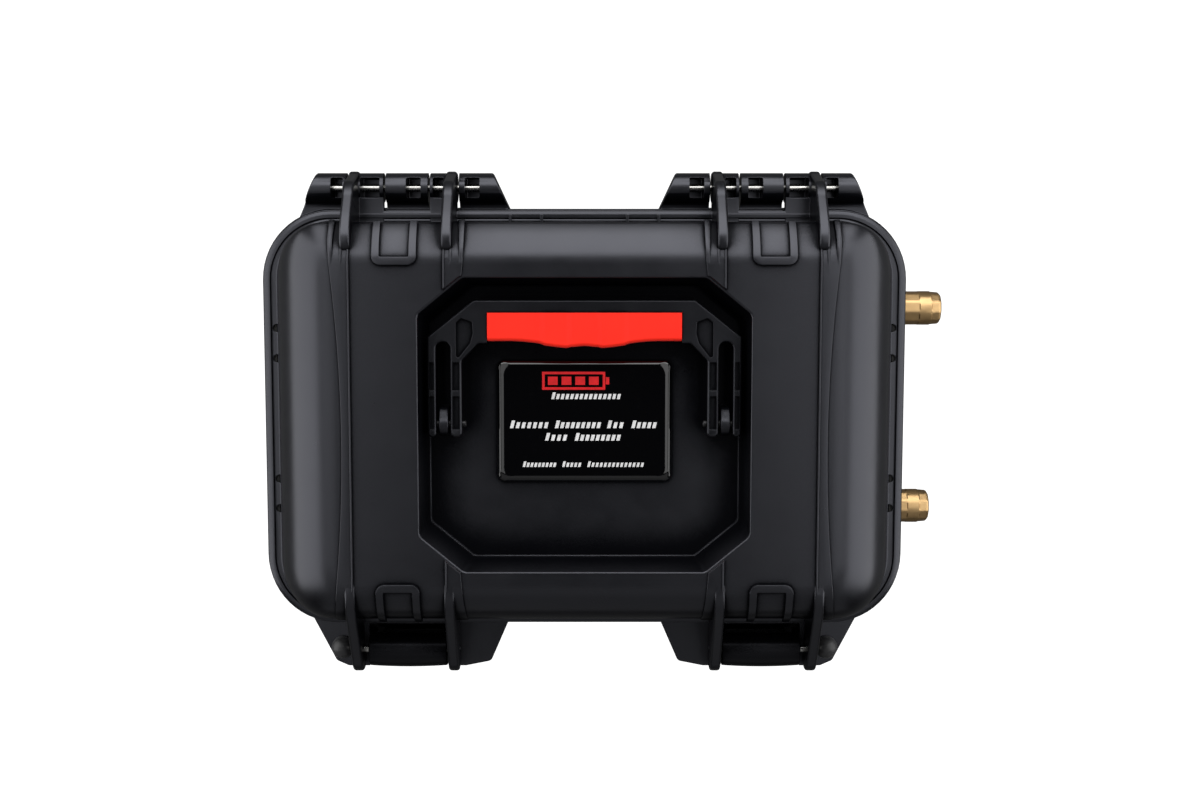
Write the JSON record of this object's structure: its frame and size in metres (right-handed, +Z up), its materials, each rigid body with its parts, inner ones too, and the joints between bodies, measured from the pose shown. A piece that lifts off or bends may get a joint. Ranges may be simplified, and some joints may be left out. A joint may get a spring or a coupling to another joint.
{
  "type": "battery pack",
  "caption": "Lithium battery pack in a sealed, latched carrying case with a folding handle and two brass side posts.",
  "frame": {"origin": "centre of the case's flat underside, where it rests on the ground", "axes": "+Z up through the lid, +X from the middle towards the wall that carries the brass posts, +Y towards the lid's hinges"},
  "size_m": [0.397, 0.2835, 0.1768],
  "materials": {
    "case_plastic": "satin black moulded plastic with a fine grain",
    "latch_plastic": "satin black moulded plastic",
    "handle_plastic": "satin black moulded plastic",
    "grip_rubber": "soft bright red overmould",
    "label_gloss": "glossy black plate with a bevelled edge",
    "seal_rubber": "matte black seal rubber",
    "plug_rubber": "smooth black rubber",
    "pin_steel": "bright drawn steel",
    "post_brass": "turned brass, polished at both ends",
    "nut_brass": "machined brass",
    "cell_case": "aluminium can in blue insulating film",
    "busbar_copper": "tinned copper strip",
    "screw_steel": "zinc plated steel",
    "cable_red": "red silicone insulation",
    "cable_black": "black silicone insulation",
    "foam_grey": "dark grey closed-cell foam",
    "plate_resin": "epoxy glass plate",
    "bms_alloy": "dark anodised alloy",
    "fuse_body": "grey moulded fuse block",
    "valve_plastic": "black moulded plastic",
    "harness_sleeve": "yellow braided sleeve"
  },
  "bodies": {
    "case": {"base_shell": "case_plastic", "hinge_pin_left": "pin_steel", "hinge_pin_right": "pin_steel", "lock_plug_left": "plug_rubber", "lock_plug_right": "plug_rubber", "pressure_valve": "valve_plastic", "post_positive": "post_brass", "post_negative": "post_brass", "post_collar_positive": "case_plastic", "post_collar_negative": "case_plastic", "post_seal_positive": "seal_rubber", "post_seal_negative": "seal_rubber", "post_nut_positive": "nut_brass", "post_nut_negative": "nut_brass", "foam_cradle": "foam_grey", "cell_1": "cell_case", "cell_2": "cell_case", "cell_3": "cell_case", "cell_4": "cell_case", "busbar_1": "busbar_copper", "busbar_2": "busbar_copper", "busbar_3": "busbar_copper", "terminal_screw_1_front": "screw_steel", "terminal_screw_1_rear": "screw_steel", "terminal_screw_2_front": "screw_steel", "terminal_screw_2_rear": "screw_steel", "terminal_screw_3_front": "screw_steel", "terminal_screw_3_rear": "screw_steel", "terminal_screw_4_front": "screw_steel", "terminal_screw_4_rear": "screw_steel", "end_plate_left": "plate_resin", "end_plate_right": "plate_resin", "battery_monitor": "bms_alloy", "fuse_holder": "fuse_body", "cable_cell_to_fuse": "cable_red", "cable_fuse_to_post": "cable_red", "cable_monitor_to_post": "cable_black", "cable_cell_to_monitor": "cable_black", "sense_harness": "harness_sleeve"},
    "lid": {"lid_shell": "case_plastic", "lid_gasket": "seal_rubber", "lid_foam": "foam_grey", "label_plate": "label_gloss", "latch_pin_left": "pin_steel", "latch_pin_right": "pin_steel"},
    "handle": {"handle_frame": "handle_plastic", "handle_grip": "grip_rubber", "handle_pin_left": "pin_steel", "handle_pin_right": "pin_steel"},
    "latch_left": {"latch_left": "latch_plastic"},
    "latch_right": {"latch_right": "latch_plastic"}
  },
  "joints": [
    {"name": "lid_hinge", "type": "hinge", "parent": "case", "child": "lid", "pos_m": [0, 0.13, 0.13], "axis": [-1, 0, 0], "range_deg": [0, 100]},
    {"name": "handle_fold", "type": "hinge", "parent": "lid", "child": "handle", "pos_m": [0, 0, 0.161], "axis": [1, 0, 0], "range_deg": [0, 180]},
    {"name": "latch_left_swing", "type": "hinge", "parent": "lid", "child": "latch_left", "pos_m": [-0.1006, -0.132, 0.138], "axis": [-1, 0, 0], "range_deg": [0, 100]},
    {"name": "latch_right_swing", "type": "hinge", "parent": "lid", "child": "latch_right", "pos_m": [0.1006, -0.132, 0.138], "axis": [-1, 0, 0], "range_deg": [0, 100]}
  ]
}
